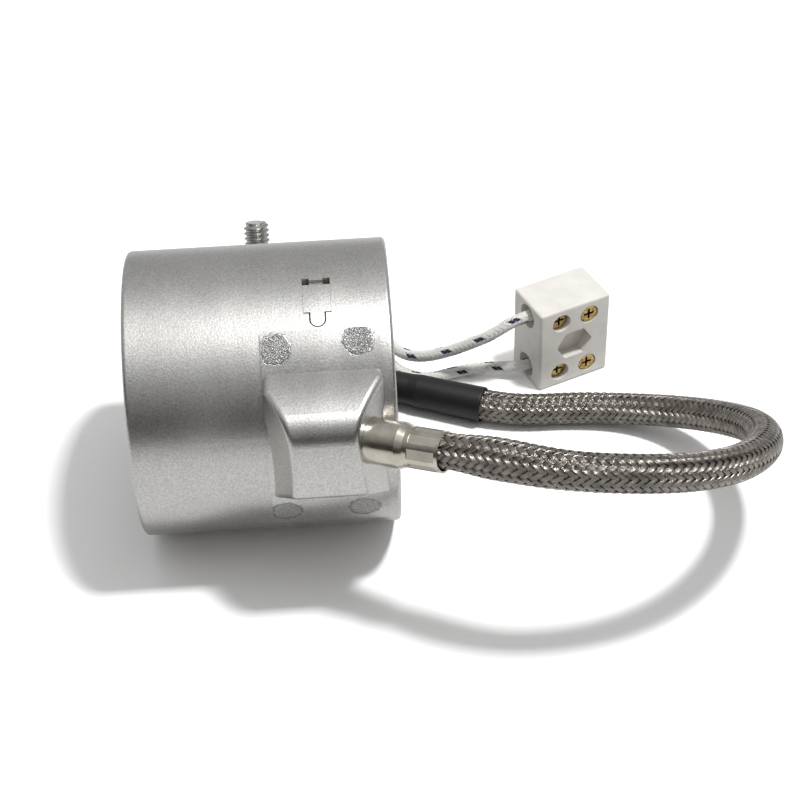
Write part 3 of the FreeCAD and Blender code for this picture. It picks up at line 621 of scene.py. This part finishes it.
class HEATER_OT_braid(bpy.types.Operator):
    """Weaves the stainless sleeve"""

    bl_idname = "heater.braid"
    bl_label = "Braided sleeve"

    # Share of the sleeve's length, and how much wider it is there.
    widths = ((0.0, 1.0), (0.02, 1.0), (0.075, 1.18), (0.17, 1.08), (0.5, 1.05), (0.9, 1.0),
              (1.0, 1.0))
    bundle_share, bundle_thickness = 0.94, 0.34 * MM

    def execute(self, context):
        sizes = context.scene.heater_sizes
        line = smooth_line("braid_line", BRAID_ROUTE, 0.5 * MM)
        end = line_length(line)

        def swell(distance):
            """The sleeve opens out of the ferrule and narrows again into the heat-shrink."""
            for (start, low), (stop, high) in zip(self.widths, self.widths[1:]):
                if start * end <= distance <= stop * end:
                    share = (distance - start * end) / ((stop - start) * end)
                    return low + (high - low) * share * share * (3 - 2 * share)
            return 1.0

        mesh = woven("steel_braid", line, sizes.braid_diameter, sizes.braid_carriers,
                     sizes.braid_pitch, self.bundle_share, self.bundle_thickness, swell=swell)
        # The first material, the core between the bundles, is dark painted shade.
        for material in (braid_painted_shade(), steel_wire_bundle()):
            mesh.materials.append(material)
        braid = new_piece("steel_braid", mesh, "root", ("braided_sleeve",))
        return {"FINISHED"}


class HEATER_OT_shrink(bpy.types.Operator):
    """Finishes the heat-shrink"""

    bl_idname = "heater.shrink"
    bl_label = "Heat-shrink"

    def execute(self, context):
        dress(shrink_rubber(), "heat_shrink")
        return {"FINISHED"}


class HEATER_OT_leads(bpy.types.Operator):
    """Weaves the two glass-braided leads with their tracers"""

    bl_idname = "heater.leads"
    bl_label = "Leads"

    yarn_share, yarn_thickness = 1.0, 0.14 * MM
    tracers = (0, 1)

    def execute(self, context):
        sizes = context.scene.heater_sizes
        white = glass_yarn("Fibreglass, white braid", "#DEDCD6", "#F4F3EF")
        navy = glass_yarn("Fibreglass, navy tracer", "#171A38", "#2C3057")
        core = glass_yarn("Fibreglass, under the braid", "#BEBBB2", "#CFCCC4")
        for name, route in LEAD_ROUTES.items():
            line = smooth_line(name + "_line", route, 0.32 * MM)
            mesh = woven(name + "_braid", line, sizes.lead_diameter, sizes.lead_carriers,
                         sizes.lead_pitch, self.yarn_share, self.yarn_thickness,
                         tracers=self.tracers)
            for material in (core, white, navy):
                mesh.materials.append(material)
            lead = new_piece(name + "_braid", mesh, "root", (name,))
        return {"FINISHED"}


class HEATER_OT_connector(bpy.types.Operator):
    """Finishes the ceramic connector, its inserts and its screws"""

    bl_idname = "heater.connector"
    bl_label = "Connector"

    def execute(self, context):
        dress(porcelain(), "ceramic_block")
        brass = plain_metal("Brass, turned", "#B9A468", 0.3)
        dress(brass.material, "brass_insert_1", "brass_insert_2")
        for joint in frame["joints"]:
            screw = joint["child"]
            if screw == "clamp_screw":
                continue
            origin, axis = Vector(joint["pos_m"]), Vector(joint["axis"]).normalized()
            vertices = node_object(screw).data.vertices
            face = origin + axis * max((v.co - origin).dot(axis) for v in vertices)
            dress(passivated("Steel, yellow passivated, " + screw, face, axis), screw)
        return {"FINISHED"}


class HEATER_OT_stage(bpy.types.Operator):
    """Sets the table, the light and the camera"""

    bl_idname = "heater.stage"
    bl_label = "Stage"

    # Studio seen from the object: sine of the elevation, and brightness. The dark room lies in
    # front, a grey wall behind and a soft box overhead.
    front_sky = ((0.0, (0.05, 0.045, 0.04)), (0.34, (0.07, 0.06, 0.055)),
                 (0.52, (0.22, 0.22, 0.22)), (0.8, (0.42, 0.42, 0.42)), (0.97, (0.95, 0.95, 0.95)))
    back_sky = ((0.0, (0.42, 0.42, 0.42)), (0.7, (0.46, 0.46, 0.46)), (0.9, (0.62, 0.62, 0.62)),
                (0.98, (0.95, 0.95, 0.95)))
    sky_seam = 0.12  # half the width over which front turns into back
    table_reach = 3.0  # metres from the middle to each edge
    # Above 1, for camera rays alone: the open table then shows as white. It lights nothing.
    table_seen = (1.22, 1.22, 1.22, 1.0)

    def execute(self, context):
        self.table()
        self.light(context)
        self.camera(context)
        context.scene.view_settings.view_transform = "Standard"
        return {"FINISHED"}

    def table(self):
        low = CAD_BOX[0]
        size = self.table_reach
        mesh = bpy.data.meshes.new("table")
        corners = [(x * size, y * size, low[2]) for x, y in ((-1, -1), (1, -1), (1, 1), (-1, 1))]
        mesh.from_pydata(corners, [], [(0, 1, 2, 3)])
        s = Surface("Table, white laminate", Base_Color=srgb("#E6E6E6"), Roughness=0.9)
        s.shader.inputs["Specular IOR Level"].default_value = 0.1
        shade = s.add("ShaderNodeBsdfDiffuse", {"Color": self.table_seen})
        camera_ray = s.add("ShaderNodeLightPath", output=0)
        seen = s.add("ShaderNodeMixShader", {0: camera_ray, 1: s.shader.outputs[0], 2: shade})
        s.tree.links.new(seen, s.tree.nodes["Material Output"].inputs["Surface"])
        mesh.materials.append(s.material)
        table = bpy.data.objects.new("table", mesh)
        bpy.context.scene.collection.objects.link(table)

    def light(self, context):
        look = context.scene.heater_look
        key = bpy.data.lights.new("key", "AREA")
        key.size = look.key_size
        key.energy = look.key_power
        lamp = bpy.data.objects.new("key", key)
        lamp.location = look.key_place
        lamp.rotation_euler = (-Vector(look.key_place)).to_track_quat("-Z", "Y").to_euler()
        bpy.context.scene.collection.objects.link(lamp)
        world = bpy.data.worlds.new("studio")
        context.scene.world = world
        world.use_nodes = True
        tree = world.node_tree
        direction = add_node(tree, "ShaderNodeTexCoord", output="Generated")
        split = add_node(tree, "ShaderNodeSeparateXYZ", {0: direction}).node
        front = self.sky(tree, split.outputs["Z"], self.front_sky)
        back = self.sky(tree, split.outputs["Z"], self.back_sky)
        turn = add_node(tree, "ShaderNodeMapRange", {"Value": split.outputs["Y"],
                                                     "From Min": -self.sky_seam,
                                                     "From Max": self.sky_seam})
        room = add_node(tree, "ShaderNodeMix", {0: turn, 6: front, 7: back}, output=2,
                        data_type="RGBA")
        background = tree.nodes["Background"]
        tree.links.new(room, background.inputs["Color"])
        background.inputs["Strength"].default_value = 1.0

    def sky(self, tree, height, stops):
        """One side of the room: its brightness by height."""
        colour = add_node(tree, "ShaderNodeValToRGB", {0: height})
        elements = colour.node.color_ramp.elements
        while len(elements) < len(stops):
            elements.new(1.0)
        for element, (place, shade) in zip(elements, stops):
            element.position = place
            element.color = (*shade, 1.0)
        return colour

    def camera(self, context):
        look = context.scene.heater_look
        data = bpy.data.cameras.new("camera")
        data.lens = look.lens
        data.sensor_width = 36.0
        data.shift_y = look.camera_shift
        data.clip_start = 0.01
        camera = bpy.data.objects.new("camera", data)
        aim = Vector(look.camera_aim).normalized()
        level = aim.cross(Vector((0, 0, 1))).normalized()
        right = Matrix.Rotation(look.camera_roll, 3, aim) @ level
        up = right.cross(aim)
        turn = Matrix((right, up, -aim)).transposed()
        camera.matrix_world = Matrix.Translation(look.camera_place) @ turn.to_4x4()
        bpy.context.scene.collection.objects.link(camera)
        context.scene.camera = camera


class HEATER_PT_panel(bpy.types.Panel):
    """Sizes, light and one button for each group of pieces"""

    bl_idname = "HEATER_PT_panel"
    bl_label = "Band heater"
    bl_space_type = "VIEW_3D"
    bl_region_type = "UI"
    bl_category = "Heater"

    def draw(self, context):
        for group in (context.scene.heater_sizes, context.scene.heater_look):
            for name in group.__annotations__:
                self.layout.prop(group, name)
        for operator in STEPS:
            self.layout.operator(operator.bl_idname)


STEPS = (HEATER_OT_stage, HEATER_OT_braid, HEATER_OT_leads, HEATER_OT_shrink, HEATER_OT_band,
         HEATER_OT_hood, HEATER_OT_clamp, HEATER_OT_ferrule, HEATER_OT_connector)
CLASSES = (HeaterSizes, HeaterLook) + STEPS + (HEATER_PT_panel,)


def register():
    for item in CLASSES:
        bpy.utils.register_class(item)
    bpy.types.Scene.heater_sizes = PointerProperty(type=HeaterSizes)
    bpy.types.Scene.heater_look = PointerProperty(type=HeaterLook)


def unregister():
    del bpy.types.Scene.heater_look
    del bpy.types.Scene.heater_sizes
    for item in reversed(CLASSES):
        bpy.utils.unregister_class(item)


def main():
    register()
    for step in STEPS:
        group, name = step.bl_idname.split(".")
        getattr(getattr(bpy.ops, group), name)()


if __name__ == "__main__":
    main()
